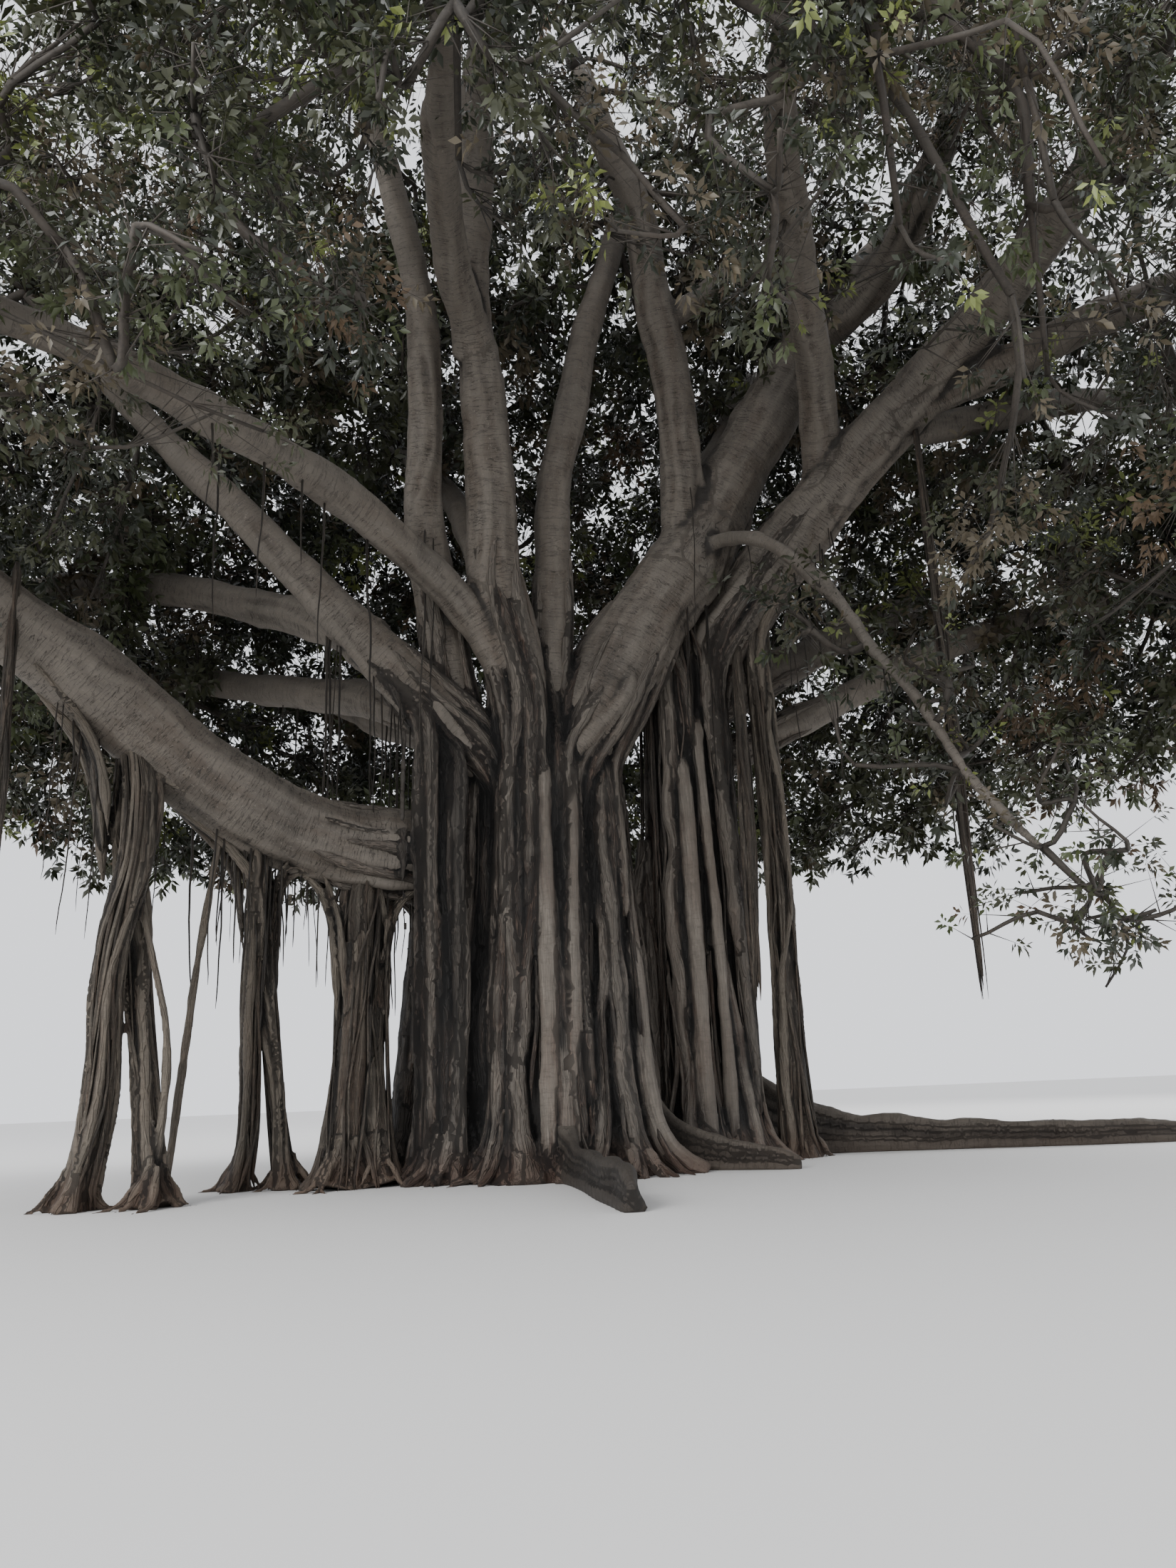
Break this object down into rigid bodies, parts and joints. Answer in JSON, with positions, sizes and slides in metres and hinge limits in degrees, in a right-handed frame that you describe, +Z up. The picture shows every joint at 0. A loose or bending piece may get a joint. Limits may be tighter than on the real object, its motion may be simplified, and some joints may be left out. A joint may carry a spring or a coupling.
{
  "type": "banyan tree",
  "caption": "Giant banyan fig with a fused trunk, pillar and hanging roots, wall-like surface roots, long bare boughs and an umbrella crown of leafy masses.",
  "frame": {"origin": "on the trunk's flat cut at ground level, under the fork", "axes": "+Z up; -Y towards the side that the picture shows; +X to its right"},
  "size_m": [35.9933, 34.525, 26.3914],
  "materials": {
    "trunk_bark": "rough grey-brown bark of fused upright roots, with darker seams",
    "bough_bark": "smooth grey-brown bark with fine rings, scars and lumps",
    "root_bark": "fibrous brown bark of aerial and surface roots",
    "foliage": "glossy dark olive leaves with rusty undersides on thin brown twigs"
  },
  "bodies": {
    "root": {"trunk": "trunk_bark", "bough_main_right": "bough_bark", "bough_low_left": "bough_bark", "bough_left": "bough_bark", "bough_front_stem": "bough_bark", "bough_middle_stem": "bough_bark", "bough_left_stem": "bough_bark", "bough_left_level": "bough_bark", "bough_right": "bough_bark", "bough_right_low": "bough_bark", "bough_back_right": "bough_bark", "bough_back_upright": "bough_bark", "bough_back": "bough_bark", "bough_back_left": "bough_bark", "bough_back_top": "bough_bark", "bough_left_far": "bough_bark", "bough_left_reaching": "bough_bark", "bough_front_fork": "bough_bark", "bough_top": "bough_bark", "bough_upper_fork": "bough_bark", "bough_upper_right": "bough_bark", "bough_back_high": "bough_bark", "bough_right_near": "bough_bark", "bough_right_level": "bough_bark", "bough_front_right": "bough_bark", "bough_drooping": "bough_bark", "pillar_laced": "root_bark", "pillar_slim_pair": "root_bark", "pillar_stout": "root_bark", "pillar_right": "root_bark", "hanging_root_right": "root_bark", "hanging_root_bundle": "root_bark", "hanging_root_left": "root_bark", "root_front": "root_bark", "root_right": "root_bark", "root_right_near": "root_bark", "foliage_low_left": "foliage", "foliage_left": "foliage", "foliage_front_stem": "foliage", "foliage_middle_stem": "foliage", "foliage_left_stem": "foliage", "foliage_left_level": "foliage", "foliage_right": "foliage", "foliage_right_low": "foliage", "foliage_back_right": "foliage", "foliage_back_upright": "foliage", "foliage_back": "foliage", "foliage_back_left": "foliage", "foliage_back_top": "foliage", "foliage_left_far": "foliage", "foliage_left_reaching": "foliage", "foliage_front_fork": "foliage", "foliage_top": "foliage", "foliage_upper_fork": "foliage", "foliage_upper_right": "foliage", "foliage_back_high": "foliage", "foliage_right_near": "foliage", "foliage_right_level": "foliage", "foliage_front_right": "foliage"}
  },
  "joints": []
}
